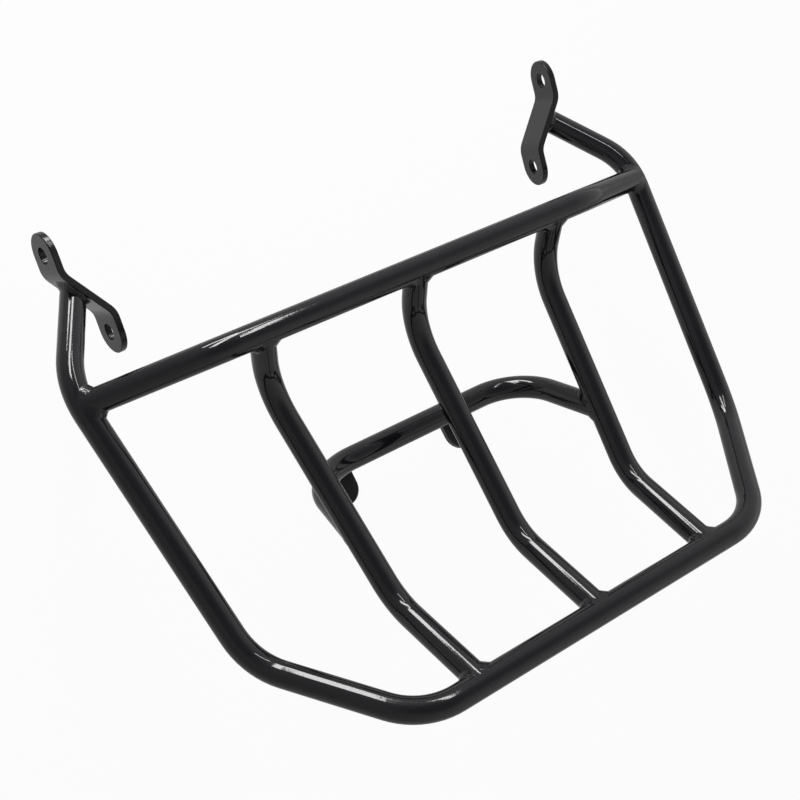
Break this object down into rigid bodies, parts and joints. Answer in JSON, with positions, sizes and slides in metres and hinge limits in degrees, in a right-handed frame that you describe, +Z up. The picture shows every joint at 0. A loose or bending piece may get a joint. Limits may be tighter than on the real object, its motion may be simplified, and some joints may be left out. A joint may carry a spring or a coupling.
{
  "type": "motorcycle rear luggage rack",
  "caption": "Welded black tube carrier for the back of a motorcycle, with a raised rear rail, luggage slats, an underslung support loop and bolt-on side brackets.",
  "frame": {"origin": "middle of the rack's width and length, level with the undersides of the hanger tabs", "axes": "+X to the right across the rack, +Y forward to the side brackets, +Z up"},
  "size_m": [0.3608, 0.2919, 0.1419],
  "materials": {
    "gloss_coat": "gloss black powder coat",
    "satin_coat": "satin black powder coat",
    "weld_coat": "gloss black powder coat over a rippled weld bead"
  },
  "bodies": {
    "root": {"main_hoop": "gloss_coat", "front_crossbar": "gloss_coat", "slat_left": "gloss_coat", "slat_centre": "gloss_coat", "slat_right": "gloss_coat", "support_loop": "gloss_coat", "bracket_left": "satin_coat", "bracket_right": "satin_coat", "hanger_left": "satin_coat", "hanger_right": "satin_coat", "weld_slat_left_front": "weld_coat", "weld_slat_left_rear": "weld_coat", "weld_slat_centre_front": "weld_coat", "weld_slat_centre_rear": "weld_coat", "weld_slat_right_front": "weld_coat", "weld_slat_right_rear": "weld_coat", "weld_crossbar_left": "weld_coat", "weld_crossbar_right": "weld_coat", "weld_loop_left": "weld_coat", "weld_loop_right": "weld_coat", "weld_bracket_left": "weld_coat", "weld_bracket_right": "weld_coat", "weld_hanger_left": "weld_coat", "weld_hanger_right": "weld_coat"}
  },
  "joints": []
}
